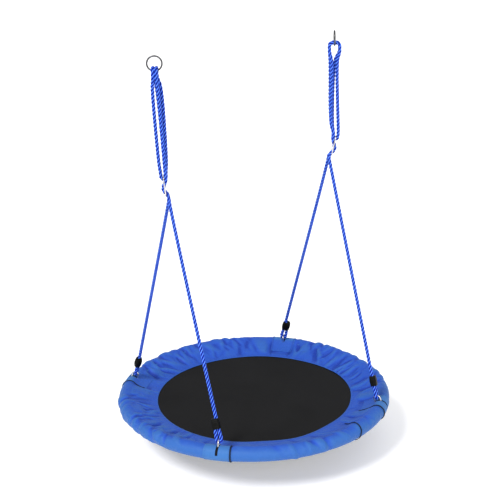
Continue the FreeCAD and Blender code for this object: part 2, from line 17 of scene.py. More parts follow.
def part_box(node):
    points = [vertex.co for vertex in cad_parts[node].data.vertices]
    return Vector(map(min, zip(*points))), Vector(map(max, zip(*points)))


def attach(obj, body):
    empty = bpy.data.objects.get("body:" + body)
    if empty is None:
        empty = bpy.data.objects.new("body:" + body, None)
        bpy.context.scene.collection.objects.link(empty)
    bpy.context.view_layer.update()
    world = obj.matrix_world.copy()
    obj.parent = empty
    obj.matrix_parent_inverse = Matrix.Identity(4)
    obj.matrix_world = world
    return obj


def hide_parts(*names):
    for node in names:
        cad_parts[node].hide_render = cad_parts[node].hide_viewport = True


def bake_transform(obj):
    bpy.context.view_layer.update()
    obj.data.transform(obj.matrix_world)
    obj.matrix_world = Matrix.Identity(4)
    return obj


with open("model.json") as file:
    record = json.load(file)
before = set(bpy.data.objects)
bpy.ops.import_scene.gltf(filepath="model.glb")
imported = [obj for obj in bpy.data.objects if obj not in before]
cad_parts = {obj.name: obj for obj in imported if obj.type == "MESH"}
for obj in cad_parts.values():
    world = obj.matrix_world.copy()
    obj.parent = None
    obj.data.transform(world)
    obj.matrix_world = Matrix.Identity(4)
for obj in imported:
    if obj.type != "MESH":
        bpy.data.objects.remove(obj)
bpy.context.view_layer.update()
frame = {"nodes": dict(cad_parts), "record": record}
nodes = frame["nodes"]
scene = bpy.context.scene

# ------------ sizes taken from the frame

UP = Vector((0, 0, 1))
RIM_LOW, RIM_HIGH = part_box("cover_sleeve")
PANEL_LOW, PANEL_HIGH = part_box("centre_panel")
SEAT_Z = (RIM_LOW.z + RIM_HIGH.z) / 2
PADDED_R = (RIM_HIGH.z - RIM_LOW.z) / 2
RING_R = (RIM_HIGH.x - RIM_LOW.x) / 2 - PADDED_R
PANEL_R = (PANEL_HIGH.x - PANEL_LOW.x) / 2
PANEL_RIM_Z = PANEL_HIGH.z
HANG_OUT = (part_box("right_top_ring")[0].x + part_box("right_top_ring")[1].x) / 2

# ------------ camera


def add_object(name, data):
    """An object of the given data, in the scene."""
    obj = bpy.data.objects.new(name, data)
    scene.collection.objects.link(obj)
    return obj


CAMERA_AZIMUTH = radians(-29.56)
CAMERA_ELEVATION = radians(19.97)
CAMERA_ROLL = radians(-1.11)
CAMERA_DISTANCE = 6.006
CAMERA_ASIDE = Vector((-0.016, 0.588))
LENS = 106.1


def direction(azimuth, elevation):
    """The unit vector to an azimuth, which is 0 in front of the swing, and an elevation."""
    flat = cos(elevation)
    return Vector((sin(azimuth) * flat, -cos(azimuth) * flat, sin(elevation)))


def make_camera():
    """A long lens, a little above the seat, looking down across the front left of the swing."""
    a, r = CAMERA_AZIMUTH, CAMERA_ROLL
    back = direction(a, CAMERA_ELEVATION)
    level = Vector((cos(a), sin(a), 0))
    above = back.cross(level)
    right = level * cos(r) + above * sin(r)
    up = above * cos(r) - level * sin(r)
    place = Vector((0, 0, SEAT_Z)) + back * CAMERA_DISTANCE
    place += right * CAMERA_ASIDE.x + up * CAMERA_ASIDE.y
    data = bpy.data.cameras.new("camera")
    data.lens = LENS
    data.sensor_width = 36
    data.clip_end = 60
    camera = add_object("camera", data)
    turn = Matrix((right, up, back)).transposed().to_4x4()
    camera.matrix_world = Matrix.Translation(place) @ turn
    bpy.context.scene.camera = camera


# ------------ node helpers


def material(name, roughness=0.6, metallic=0.0, specular=0.5, sheen=0.0):
    """A material of one Principled shader: returns the material, its node tree and the shader."""
    mat = bpy.data.materials.new(name)
    mat.use_nodes = True
    tree = mat.node_tree
    shader = tree.nodes["Principled BSDF"]
    looks = {"Roughness": roughness, "Metallic": metallic, "Specular IOR Level": specular}
    for socket, value in (looks | {"Sheen Weight": sheen}).items():
        shader.inputs[socket].default_value = value
    return mat, tree, shader


def node(tree, kind, **values):
    """Add a node; keyword values set its sockets by name, or else its properties."""
    made = tree.nodes.new(kind)
    for key, value in values.items():
        socket = made.inputs.get(key)
        if socket is not None:
            socket.default_value = value
        else:
            setattr(made, key, value)
    return made


def colour_by(tree, shader, source, stops):
    """Colour the shader by a socket's value; stops is a list of (value, colour)."""
    made = tree.nodes.new("ShaderNodeValToRGB")
    elements = made.color_ramp.elements
    while len(elements) < len(stops):
        elements.new(0.5)
    for element, (position, colour) in zip(elements, stops):
        element.position = position
        element.color = (*colour, 1)
    tree.links.new(source, made.inputs["Fac"])
    tree.links.new(made.outputs["Color"], shader.inputs["Base Color"])


def bump(tree, shader, height, strength, distance, normal=None):
    """Bump the shader's normal by a height socket, on top of an earlier bump if one is given."""
    made = node(tree, "ShaderNodeBump", Strength=strength, Distance=distance)
    tree.links.new(height, made.inputs["Height"])
    if normal is not None:
        tree.links.new(normal, made.inputs["Normal"])
    tree.links.new(made.outputs["Normal"], shader.inputs["Normal"])
    return made.outputs["Normal"]


def math_node(tree, operation, a, b):
    """The result of a maths node; a and b are numbers or sockets."""
    made = node(tree, "ShaderNodeMath", operation=operation)
    for socket, value in zip(made.inputs, (a, b)):
        if isinstance(value, (int, float)):
            socket.default_value = value
        else:
            tree.links.new(value, socket)
    return made.outputs[0]


def noise(tree, where, **values):
    """A noise texture in object space; where is a texture coordinate node."""
    made = node(tree, "ShaderNodeTexNoise", **values)
    tree.links.new(where.outputs["Object"], made.inputs["Vector"])
    return made.outputs["Fac"]


def centred(tree, source, gain):
    """A socket's distance from one half, times gain."""
    return math_node(tree, "MULTIPLY", math_node(tree, "SUBTRACT", source, 0.5), gain)


# ------------ ropes

# half the distance between the rope's parts in a clamp, and between the bights on a ring
STRAND = 0.00615
LANE = 0.0063
# a bight's half width, and how far its crown's centre line is above the ring bar's
BIGHT_R = 0.020
BIGHT_LIFT = 0.0108
# the bight's shoulders, as shares of its height and its width
SHOULDER_RISE = 0.55
SHOULDER_IN = 0.2
HANGER_BAR = 0.0065
YAW = radians(30)
ACROSS = Vector((cos(YAW), -sin(YAW), 0))
ALONG = Vector((sin(YAW), cos(YAW), 0))
EYE_ANGLES = {"left_rear": 135, "left_front": 225, "right_front": 315, "right_rear": 45}
EYE_CIRCLE = 0.508
EYE_HEIGHT = 0.036
EYE_BEND = 0.012
CLAMP_START = 0.040
CLAMP_LENGTH = 0.040
# the leg's last point above the clamp, and the tail's end below the clamp's top
ABOVE_CLAMP = 0.05
TAIL_END = 0.003
LOOP_R = 0.010
PLATE_H = 0.075
HOLE_PITCH = 0.025
HOLE_HEIGHT = 0.013
STANDOFF = 0.0083
# the strand's passes through the adjuster: out of its face, across it, and up from its centre
WEAVE = (
    (STANDOFF, 0.0125, 0.046),
    (STANDOFF, 0.0125, 0.020),
    (-0.013, 0.0063, -0.0125),
    (STANDOFF + 0.002, 0.0063, -0.042),
)
# the bight through the top hole: its extra width, and its start above the web
TURN_SPARE = 0.0013
TURN_LEAD = 0.012
# the plate's centre and the split of the legs: (x, height above the seat)
ADJUSTERS = {
    "left": {"plate": (-0.366, 0.955), "split": (-0.357, 0.872)},
    "right": {"plate": (0.384, 0.993), "split": (0.367, 0.930)},
}
# each strand's lane and face on its ring, then its offsets (across, along) in mm, high and low
STRANDS = {
    "left": {
        "near": ((-1, -1), (-15, -8), (-14, -3)),
        "front": ((1, -1), (8, -13), (8, -14)),
        "far": ((1, 1), (21, 3), (17, 0)),
        "rear": ((-1, 1), (3, 14), (6, 14)),
    },
    "right": {
        "near": ((-1, 1), (7, -4), (11, 0)),
        "front": ((-1, -1), (-9, -8), (-22, -9)),
        "far": ((1, 1), (-4, 9), (-13, 2)),
        "rear": ((1, -1), (-17, 5), (-21, 14)),
    },
}
BIGHT_DROP = 0.018
BELOW_RING = 0.065
ABOVE_PLATE = 0.060


def side_sign(side):
    return -1 if side == "left" else 1


def foot_of_ring(side):
    """The middle of the bar at the foot of a hanging ring."""
    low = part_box(f"{side}_top_ring")[0]
    return Vector((side_sign(side) * HANG_OUT, 0, low.z + HANGER_BAR / 2))


def ring_axes(side):
    """The directions along a ring's bar at its foot and through its hole."""
    return (ACROSS, ALONG) if side == "left" else (ALONG, ACROSS)


def seat_height(pair):
    """A point midway between front and rear, from its x and its height above the seat."""
    return Vector((pair[0], 0, SEAT_Z + pair[1]))


def plate_frame(side):
    """The adjuster plate's centre, face normal, width and length directions."""
    centre = seat_height(ADJUSTERS[side]["plate"])
    length = (centre - seat_height(ADJUSTERS[side]["split"])).normalized()
    width = (ALONG - length * ALONG.dot(length)).normalized()
    return centre, width.cross(length), width, length


def eye_frame(place):
    """The split above an eye, the eye's bar, the direction up the leg and the tube's tangent."""
    side = place.split("_")[0]
    angle = radians(EYE_ANGLES[place])
    split = seat_height(ADJUSTERS[side]["split"])
    split.y = math.copysign(0.002, sin(angle))
    c, s = cos(angle), sin(angle)
    centre = Vector((EYE_CIRCLE * c, EYE_CIRCLE * s, SEAT_Z + EYE_HEIGHT))
    tangent = Vector((-s, c, 0))
    pull = (split - centre).normalized()
    lean = (pull - tangent * pull.dot(tangent)).normalized()
    bar = centre + lean * EYE_BEND
    return split, bar, (split - bar).normalized(), tangent


def leg_frame(place):
    """A leg's split, its eye's bar, its way up and the way from its tail to its standing part."""
    split, bar, up, tangent = eye_frame(place)
    across = (tangent - up * tangent.dot(up)).normalized()
    if across.y * (-1 if place.endswith("front") else 1) < 0:
        across = -across
    return split, bar, up, across


def strand_points(side, strand):
    """A strand's route from the bight on its ring down to just above the adjuster."""
    bar, normal = ring_axes(side)
    foot = foot_of_ring(side)
    (lane, face), high, low = STRANDS[side][strand]
    start = foot + bar * (lane * LANE) + normal * (face * BIGHT_R)
    start += UP * (BIGHT_LIFT - BIGHT_R)
    centre, _normal, _width, length = plate_frame(side)
    plate_top = centre + length * (PLATE_H / 2)
    axis = (plate_top - foot).normalized()
    upper = foot + axis * BELOW_RING + (ACROSS * high[0] + ALONG * high[1]) / 1000
    lower = plate_top - axis * ABOVE_PLATE + (ACROSS * low[0] + ALONG * low[1]) / 1000
    return [start, start - UP * BIGHT_DROP, upper, lower]


def bight_points(side, first, second):
    """The crown of a bight over the ring's bar, between two strands' tops."""
    a = strand_points(side, first)[0]
    b = strand_points(side, second)[0]
    rise = UP * BIGHT_R
    inward = (b - a) * SHOULDER_IN
    low = rise * SHOULDER_RISE
    return [a + low, a + rise + inward, b + rise - inward, b + low]


def leg_points(side, end):
    """From above the adjuster through it, down a leg, round its eye and back into the clamp."""
    place = f"{side}_{end}"
    centre, normal, width, length = plate_frame(side)
    inner = -side_sign(side)
    lane = -1 if end == "front" else 1

    def at_plate(out, wide, high):
        return centre + normal * (inner * out) + width * (lane * wide) + length * high

    split, bar, up, across = leg_frame(place)
    standing = across * STRAND
    reach = math.hypot(STRAND, CLAMP_START)
    flare = math.atan2(CLAMP_START, STRAND) - math.acos(LOOP_R / reach)
    corner = across * (STRAND + (CLAMP_START + LOOP_R) * math.tan(flare))
    foot = up * -LOOP_R
    top = CLAMP_START + CLAMP_LENGTH
    return [at_plate(*spot) for spot in WEAVE] + [
        split + standing,
        bar + up * (top + ABOVE_CLAMP) + standing,
        bar + up * CLAMP_START + standing,
        bar + foot + corner,
        bar + foot - corner,
        bar + up * CLAMP_START - standing,
        bar + up * (top - TAIL_END) - standing,
    ]


def middle_points(side):
    """The turn through the adjuster's top hole, from the far strand to the near one."""
    centre, normal, _width, length = plate_frame(side)
    aside = normal * (-side_sign(side) * (STANDOFF + TURN_SPARE))
    web = centre + length * ((PLATE_H / 2 + HOLE_PITCH + HOLE_HEIGHT / 2) / 2)
    lead = length * TURN_LEAD
    bottom = web - length * (STANDOFF + TURN_SPARE)
    return [web + aside + lead, bottom + aside, bottom - aside, web - aside + lead]


def rope_route(side):
    """The whole rope of one side, from the tail in its rear clamp to that in its front clamp."""
    down = {name: strand_points(side, name) for name in STRANDS[side]}
    first, other = ("near", "far") if side == "left" else ("far", "near")
    middle = middle_points(side)
    if first == "near":
        middle = middle[::-1]
    route = leg_points(side, "rear")[::-1]
    route += down["rear"][::-1] + bight_points(side, "rear", first) + down[first]
    route += middle
    route += down[other][::-1] + bight_points(side, other, "front") + down["front"]
    route += leg_points(side, "front")
    return route


def route_curve(name, points):
    """An un-bevelled NURBS curve with the route's points as its control points."""
    curve = bpy.data.curves.new(name, "CURVE")
    curve.dimensions = "3D"
    curve.resolution_u = 24
    spline = curve.splines.new("NURBS")
    spline.points.add(len(points) - 1)
    for control, place in zip(spline.points, points):
        control.co = (*place, 1)
    spline.order_u = 3
    spline.use_endpoint_u = True
    return curve


def centreline(name, points, step):
    """Evenly spaced points read from the route's NURBS spline."""
    guide = add_object(name, route_curve(name, points))
    bpy.context.view_layer.update()
    mesh = bpy.data.meshes.new_from_object(guide)
    raw = np.array([v.co for v in mesh.vertices])
    bpy.data.meshes.remove(mesh)
    bpy.data.objects.remove(guide)
    run = np.concatenate([[0], np.cumsum(np.linalg.norm(np.diff(raw, axis=0), axis=1))])
    count = int(run[-1] / step) + 1
    even = np.linspace(0, run[-1], count)
    line = np.stack([np.interp(even, run, raw[:, k]) for k in range(3)], 1)
    return line, even


ANY_DIRECTION = (0.3, 0.2, 0.9)


def carried_frames(line):
    """Two unit normals at each point of a line, carried along it without twist."""
    tangents = np.gradient(line, axis=0)
    tangents /= np.linalg.norm(tangents, axis=1)[:, None]
    start = np.cross(tangents[0], ANY_DIRECTION)
    sides = [start / np.linalg.norm(start)]
    for tangent in tangents[1:]:
        side = sides[-1] - tangent * np.dot(sides[-1], tangent)
        sides.append(side / np.linalg.norm(side))
    sides = np.array(sides)
    return tangents, sides, np.cross(tangents, sides)


def tube_faces(rings, around):
    """Quads of a tube of rings, and its two end caps."""
    faces = []
    for i in range(rings - 1):
        for j in range(around):
            k = (j + 1) % around
            this, after = i * around, (i + 1) * around
            faces.append((this + j, this + k, after + k, after + j))
    faces.append(tuple(reversed(range(around))))
    faces.append(tuple((rings - 1) * around + j for j in range(around)))
    return faces


def make_object(name, vertices, faces, mat=None, smooth=True):
    """A mesh object in the scene."""
    mesh = bpy.data.meshes.new(name)
    mesh.from_pydata([tuple(v) for v in vertices], [], faces)
    mesh.update()
    if smooth:
        mesh.polygons.foreach_set("use_smooth", [True] * len(mesh.polygons))
    if mat:
        mesh.materials.append(mat)
    return add_object(name, mesh)


def set_values(obj, name, values):
    """Store one number for each vertex, for the object's material."""
    attribute = obj.data.attributes.new(name, "FLOAT", "POINT")
    attribute.data.foreach_set("value", values.ravel().astype(np.float32))


def thicken(obj, thickness, offset):
    """Give a sheet its thickness: offset is -1 for inward and 0 for both ways."""
    skin = obj.modifiers.new("skin", "SOLIDIFY")
    skin.thickness = thickness
    skin.offset = offset


ROPE_STRANDS = 3
ROPE_PITCH = 0.046
ROPE_STEP = 0.0028
STRAND_OFFSET = 0.0039
STRAND_R = 0.0034
STRAND_AROUND = 10


def twisted_rope(name, points, mat):
    """A three-strand rope laid along a route, with its heart line and its length."""
    line, run = centreline(name + "_guide", points, ROPE_STEP)
    _tangents, side, other = carried_frames(line)
    around = STRAND_AROUND
    vertices = []
    faces = []
    for strand in range(ROPE_STRANDS):
        angle = 2 * pi * run / ROPE_PITCH + 2 * pi * strand / ROPE_STRANDS
        out = side * np.cos(angle)[:, None] + other * np.sin(angle)[:, None]
        heart = line + out * STRAND_OFFSET
        _t, across, upright = carried_frames(heart)
        base = len(vertices)
        for spot, right, up in zip(heart, across, upright):
            for j in range(around):
                turn = 2 * pi * j / around
                vertices.append(spot + (right * cos(turn) + up * sin(turn)) * STRAND_R)
        faces += [tuple(base + v for v in face) for face in tube_faces(len(heart), around)]
    rope = make_object(name, vertices, faces, mat)
    heart_line = np.tile(np.repeat(line, around, axis=0), (ROPE_STRANDS, 1))
    # how far out from the rope's heart each point is, for its painted groove shade and crown
    # highlight
    depth = np.linalg.norm(np.array(vertices) - heart_line, axis=1) / (STRAND_OFFSET + STRAND_R)
    set_values(rope, "groove", depth)
    return rope, line, run[-1]


def rope_material():
    """Blue polyethylene yarn, with painted shade in the lay's grooves and a painted highlight on
    the strands' crowns.
    """
    mat, tree, shader = material("rope_polyethylene", roughness=0.42, specular=0.14)
    groove = node(tree, "ShaderNodeAttribute", attribute_name="groove")
    where = node(tree, "ShaderNodeTexCoord")
    fibre = noise(tree, where, Scale=700, Detail=3)
    level = math_node(tree, "ADD", groove.outputs["Fac"], centred(tree, fibre, 0.25))
    # painted shade deep in the grooves, rising to a painted highlight on the crowns
    stops = [
        (0.70, (0.0008, 0.005, 0.13)),
        (0.86, (0.005, 0.022, 0.34)),
        (0.96, (0.020, 0.078, 0.60)),
        (1.0, (0.130, 0.300, 0.95)),
    ]
    colour_by(tree, shader, level, stops)
    bump(tree, shader, fibre, 0.4, 0.0003)
    return mat


ROPE_NODES = ("ring_bights", "middle_rope", "front_rope", "rear_rope")


def make_ropes():
    mat = rope_material()
    for side in ("left", "right"):
        points = rope_route(side)
        rope, line, length = twisted_rope(f"{side}_twisted_rope", points, mat)
        if side == "left":
            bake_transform(rope)
        else:
            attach(rope, "right_rope")
        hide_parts(*[f"{side}_{part}" for part in ROPE_NODES])


# ------------ seat fabric

# colours with painted light: painted shade in deep folds, painted shade on the web, painted light
# on the padding and on the patches
FOLD_SHADE_BLUE = (0.008, 0.036, 0.290)
WEB_SHADE_BLUE = (0.015, 0.068, 0.410)
TUBE_LIT_BLUE = (0.027, 0.108, 0.370)
PATCH_LIT_BLUE = (0.036, 0.136, 0.385)
# the painted shade level on the web, and how much a full fold adds as painted light on its ridge or
# takes as painted shade in its valley
WEB_TONE = 0.4
FOLD_TONE = 0.38
FABRIC_R = PADDED_R - 0.0006
# the foam that the cover is draped over, and the foam that is shown
FOAM_R = PADDED_R - 0.0036
SHOWN_FOAM_R = PADDED_R - 0.0065
TAPE_R = PADDED_R + 0.0013
HEM_LIFT = 0.0009
HEM_UNDER = 0.001
# the web's curve: lengths of its handles at the hem and at the padding, and the first one's rise
HEM_HANDLE = 0.045
HEM_RISE = 0.003
PAD_HANDLE = 0.040
# angles on the padded section where the web meets it and where the sleeve ends
WEB_LIFT = radians(130)
SLEEVE_END = radians(142 - 360)
WEB_STEPS = 12
SLEEVE_STEPS = 24
AROUND = 480

# how slack the cover is round the ring: (angle in degrees, share of extra cloth)
SLACK = (
    (0, 0.050), (25, 0.062), (40, 0.020), (55, 0.020), (66, 0.046), (85, 0.030),
    (100, 0.050), (125, 0.060), (136, 0.020), (145, 0.025), (155, 0.062), (195, 0.058),
    (216, 0.030), (225, 0.005), (236, 0.008), (252, 0.030), (270, 0.030), (286, 0.012),
    (315, 0.012), (330, 0.040), (360, 0.050),
)


def slack_at(degrees):
    """The share of extra cloth at an angle round the ring."""
    angles, shares = zip(*SLACK)
    return np.interp(degrees % 360, angles, shares)


# how far the cover's hem stands out from the panel's seam: (angle in degrees, millimetres)
HEM = (
    (0, 17), (30, 12), (55, 13), (75, 8), (92, 5), (117, 4), (148, 0), (170, 1),
    (196, 4), (214, 6), (232, 9), (244, 1), (264, 12), (286, -2), (305, 1), (325, 2),
    (345, 11), (360, 17),
)


def hem_radius(angle):
    """The cover's inner hem, which lies over the panel's edge and is pulled out in places."""
    degrees = math.degrees(angle) % 360
    at, out = zip(*HEM)
    near = [np.interp((degrees + step) % 360, at, out) for step in (-4, -2, 0, 2, 4)]
    return PANEL_R - HEM_UNDER + sum(near) / len(near) / 1000


def on_pad(radius, angle):
    """The point (r, z) at a radius and an angle round the tube's centre."""
    return RING_R + radius * cos(angle), radius * sin(angle)


def cover_section(hem_r):
    """Points (r, z) from the hem, over the web and round the padding, z from the tube's centre."""
    hem_z = PANEL_RIM_Z - SEAT_Z + HEM_LIFT
    end_r, end_z = on_pad(FABRIC_R, WEB_LIFT)
    slope = Vector((-sin(WEB_LIFT), cos(WEB_LIFT)))
    handles = (
        Vector((hem_r, hem_z)),
        Vector((hem_r + HEM_HANDLE, hem_z + HEM_RISE)),
        Vector((end_r, end_z)) + slope * PAD_HANDLE,
        Vector((end_r, end_z)),
    )
    points = []
    for i in range(WEB_STEPS):
        t = i / WEB_STEPS
        weights = ((1 - t) ** 3, 3 * t * (1 - t) ** 2, 3 * t * t * (1 - t), t**3)
        spot = sum((h * w for h, w in zip(handles, weights)), Vector((0, 0)))
        points.append((spot.x, spot.y))
    for i in range(SLEEVE_STEPS + 1):
        angle = WEB_LIFT + (SLEEVE_END - WEB_LIFT) * i / SLEEVE_STEPS
        points.append(on_pad(FABRIC_R, angle))
    return points


def cover_grid(extra=None):
    """The cover's points as an array [around, section, xyz]; extra pushes each section outward."""
    rows = []
    for k in range(AROUND):
        angle = 2 * pi * k / AROUND
        push = 0 if extra is None else extra[k]
        c, s = cos(angle), sin(angle)
        section = cover_section(hem_radius(angle))
        rows.append([((r + push) * c, (r + push) * s, z) for r, z in section])
    return np.array(rows) + np.array((0, 0, SEAT_Z))


def grid_faces(around, along):
    """Quads of a grid that closes on itself round the seat."""
    faces = []
    for i in range(around):
        k = (i + 1) % around
        for j in range(along - 1):
            faces.append((i * along + j, i * along + j + 1, k * along + j + 1, k * along + j))
    return faces


def foam_collider():
    """A torus that the cover lies on while it is draped."""
    around, turn = 240, 28
    vertices = []
    faces = []
    for k in range(around):
        a = 2 * pi * k / around
        here, there = k * turn, (k + 1) % around * turn
        for j in range(turn):
            r, z = on_pad(FOAM_R, 2 * pi * j / turn)
            vertices.append((r * cos(a), r * sin(a), z + SEAT_Z))
            after = (j + 1) % turn
            faces.append((here + j, there + j, there + after, here + after))
    torus = make_object("foam_collider", vertices, faces)
    torus.modifiers.new("collision", "COLLISION")
    torus.collision.thickness_outer = 0.001
    torus.collision.thickness_inner = 0.004
    torus.collision.cloth_friction = 8
    return torus


PATCH_HALF_DEGREES = 5.6
PATCH_INNER_R = 0.432
# angle and distance over which the cloth comes free beside and inward of a patch
FREE_DEGREES = 3.0
FREE_INWARD = 0.012
CLOTH = {
    "quality": 6,
    "mass": 0.25,
    "tension_stiffness": 40,
    "compression_stiffness": 40,
    "shear_stiffness": 12,
    "bending_stiffness": 5.0,
    "air_damping": 3,
    "vertex_group_mass": "pins",
    "pin_stiffness": 1,
    "use_pressure": True,
    "uniform_pressure_force": 0.6,
}
FRAMES = 18
MOST_MOVE = 0.014
# each section's pinned points at the hem and under the sleeve
HEM_PINS = 2
END_PINS = 7
# the share of the starting puckers that is added back
SHAKE_KEPT = 0.8
# points of the section that stay on the panel, and how far they may sink
HEM_POINTS = 5
HEM_SINK = 0.0008
# how far the sleeve may sink into its smooth shape and stand off it
SLEEVE_SINK = 0.0045
SLEEVE_RISE = 0.0035


def drape_cover(cover, start, shake):
    """Let the cover, cut longer than the ring, buckle over the padding; then return its points.

    The cloth pulls its starting puckers, shake, flatter than coated fabric does, so most of them
    is added back.
    """
    along = start.shape[1]
    cut = [RING_R * slack_at(360 * k / AROUND) for k in range(AROUND)]
    cover.shape_key_add(name="Basis")
    key = cover.shape_key_add(name="cut")
    key.data.foreach_set("co", cover_grid(cut).ravel())
    pins = cover.vertex_groups.new(name="pins")
    for k in range(AROUND):
        for j in range(along):
            if j < HEM_PINS or j >= along - END_PINS:
                pins.add([k * along + j], 1.0, "REPLACE")
    torus = foam_collider()
    cloth = cover.modifiers.new("cloth", "CLOTH")
    settings = cloth.settings
    for name, value in CLOTH.items():
        setattr(settings, name, value)
    settings.rest_shape_key = key
    settings.effector_weights.gravity = 0
    cloth.collision_settings.use_self_collision = False
    cloth.collision_settings.distance_min = 0.001
    cloth.collision_settings.collision_quality = 2
    cloth.point_cache.frame_end = FRAMES
    for frame_number in range(1, FRAMES + 1):
        scene.frame_set(frame_number)
    depsgraph = bpy.context.evaluated_depsgraph_get()
    settled = cover.evaluated_get(depsgraph)
    found = np.empty(start.size)
    settled.to_mesh().vertices.foreach_get("co", found)
    settled.to_mesh_clear()
    cover.modifiers.remove(cloth)
    bpy.data.objects.remove(torus)
    scene.frame_set(1)
    cover.shape_key_clear()
    move = (found.reshape(start.shape) - start + shake * SHAKE_KEPT).reshape(-1, 3)
    far = np.linalg.norm(move, axis=1)
    move *= np.minimum(1, MOST_MOVE / np.maximum(far, 1e-9))[:, None]
    move = move.reshape(start.shape) * loose_share(start)[:, :, None]
    return hold_off(start, start + move).reshape(-1, 3)


def hold_off(start, cover):
    """Hold the hem on the panel, and the sleeve between the foam and a little fullness."""
    hem = cover[:, :HEM_POINTS, 2]
    cover[:, :HEM_POINTS, 2] = np.maximum(hem, start[:, :HEM_POINTS, 2] - HEM_SINK)
    sleeve = cover[:, WEB_STEPS:]
    angle = np.arctan2(sleeve[:, :, 1], sleeve[:, :, 0])
    level = np.full(angle.shape, SEAT_Z)
    heart = np.stack([RING_R * np.cos(angle), RING_R * np.sin(angle), level], 2)
    away = sleeve - heart
    far = np.linalg.norm(away, axis=2)
    held = np.clip(far, PADDED_R - SLEEVE_SINK, PADDED_R + SLEEVE_RISE)
    cover[:, WEB_STEPS:] = heart + away * (held / far)[:, :, None]
    return cover


def loose_share(start):
    """How freely each point of the cover may crease: not at all under the patches sewn over it."""
    angle = np.degrees(np.arctan2(start[:, :, 1], start[:, :, 0]))
    radius = np.hypot(start[:, :, 0], start[:, :, 1])
    share = np.ones(radius.shape)
    for eye in EYE_ANGLES.values():
        off = np.abs((angle - eye + 180) % 360 - 180)
        beside = np.clip((off - PATCH_HALF_DEGREES) / FREE_DEGREES, 0, 1)
        inward = np.clip((PATCH_INNER_R - radius) / FREE_INWARD, 0, 1)
        share = np.minimum(share, np.maximum(beside, inward))
    return share


# folds that stand out: (degrees, metres from the hem, height, half width, half length, lean)
DEEP_FOLDS = (
    (300.5, 0.045, -0.0060, 0.010, 0.030, -25),
    (294.0, 0.060, 0.0040, 0.010, 0.030, -20),
    (118.0, 0.050, -0.0040, 0.008, 0.035, 25),
    (20.0, 0.055, -0.0040, 0.008, 0.035, -25),
)
# the range of each random fold: degrees to the next pair, then metres
FOLD_APART = (2.0, 5.0)
FOLD_HEIGHT = (0.0030, 0.0070)
FOLD_WIDTH = (0.008, 0.015)
FOLD_LENGTH = (0.024, 0.055)
FOLD_REACH = (0.02, 0.19)
# the slack at which this holds, and the radius that widths are measured at
FULL_SLACK = 0.05
FOLD_RADIUS = 0.48


def seed_folds(start, rng):
    """Short puckers, more and higher ones where the cover is slack, for the cloth to settle."""
    around, along = start.shape[:2]
    degrees = np.arange(around) * 360 / around
    down = np.linalg.norm(np.diff(start, axis=1), axis=2)
    place = np.concatenate([np.zeros((around, 1)), np.cumsum(down, axis=1)], 1)
    folds = list(DEEP_FOLDS)
    at = 0.0
    while at < 360:
        slack = slack_at(at) / FULL_SLACK
        at += rng.uniform(*FOLD_APART) / max(slack, 0.3)
        for _ in range(2):
            height = rng.choice((-1, 1)) * rng.uniform(*FOLD_HEIGHT) * min(1.2, slack)
            width = rng.uniform(*FOLD_WIDTH)
            length = rng.uniform(*FOLD_LENGTH)
            turn, reach = at + rng.normal(0, 2), rng.uniform(*FOLD_REACH)
            folds.append((turn, reach, height, width, length, rng.normal(10, 20)))
    height = np.zeros((around, along))
    for turn, reach, rise, width, length, lean in folds:
        aside = np.radians((degrees - turn + 180) % 360 - 180)[:, None] * FOLD_RADIUS
        ahead = place - reach
        c, s = cos(radians(lean)), sin(radians(lean))
        across = (aside * c - ahead * s) / width
        onward = (aside * s + ahead * c) / length
        height += rise * (1 - 0.7 * across**2) * np.exp(-(across**2) - onward**2)
    height[:, :1] = 0
    height[:, -END_PINS - 1 :] = 0
    return section_normals(start) * height[:, :, None]


def section_normals(start):
    """Unit normals of the smooth cover, up on the web and outward round the padding."""
    along_ring = np.roll(start, -1, 0) - np.roll(start, 1, 0)
    normal = np.cross(along_ring, np.gradient(start, axis=1))
    normal /= np.linalg.norm(normal, axis=2)[:, :, None]
    return normal * np.sign(normal[:, :1, 2:])


# points past the web at which the painted shading starts to rise from the web's painted shade to
# the padding's painted light, and over which it rises
TONE_FROM = 2
TONE_OVER = 5
# columns each side that a point's rise is taken against, and a full fold's rise, which sets the
# painted shade and painted light on the folds
NEIGHBOURS = 9
FULL_FOLD = 0.0035


def make_cover():
    """The sleeve and the web as one cloth, draped over the padding."""
    start = cover_grid()
    along = start.shape[1]
    rng = np.random.default_rng(11)
    cloth = fabric_blue("cover_polyester", TUBE_LIT_BLUE)
    cover = make_object("seat_cover", start.reshape(-1, 3), grid_faces(AROUND, along), cloth)
    # painted shade on the web, rising to painted light on the padding
    onto_pad = np.clip((np.arange(along) - WEB_STEPS - TONE_FROM) / TONE_OVER, 0, 1)
    painted_levels = np.tile(WEB_TONE + (1 - WEB_TONE) * onto_pad, (AROUND, 1))
    shake = seed_folds(start, rng)
    cover.data.vertices.foreach_set("co", (start + shake).ravel())
    final = drape_cover(cover, start, shake)
    rise = np.sum((final.reshape(start.shape) - start) * section_normals(start), axis=2)
    steps = range(-NEIGHBOURS, NEIGHBOURS + 1)
    smooth = sum(np.roll(rise, step, 0) for step in steps) / len(steps)
    # painted shade in the folds' valleys and painted light on their ridges
    painted_levels += np.clip((rise - smooth) / FULL_FOLD, -1, 1) * FOLD_TONE
    cover.data.vertices.foreach_set("co", final.ravel())
    cover.data.update()
    set_values(cover, "painted_shading", painted_levels)
    finer = cover.modifiers.new("finer", "SUBSURF")
    finer.levels = finer.render_levels = 1
    thicken(cover, 0.0011, -1)
    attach(cover, "seat")
    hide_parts("cover_sleeve", "cover_web")
    return cover


def weave(tree, scale):
    """A texture coordinate node and the height of a plain weave in object space."""
    where = node(tree, "ShaderNodeTexCoord")
    bands = []
    for axis in ("X", "Y"):
        wave = node(tree, "ShaderNodeTexWave", Scale=scale, bands_direction=axis)
        tree.links.new(where.outputs["Object"], wave.inputs["Vector"])
        bands.append(wave.outputs["Fac"])
    return where, math_node(tree, "MAXIMUM", bands[0], bands[1])


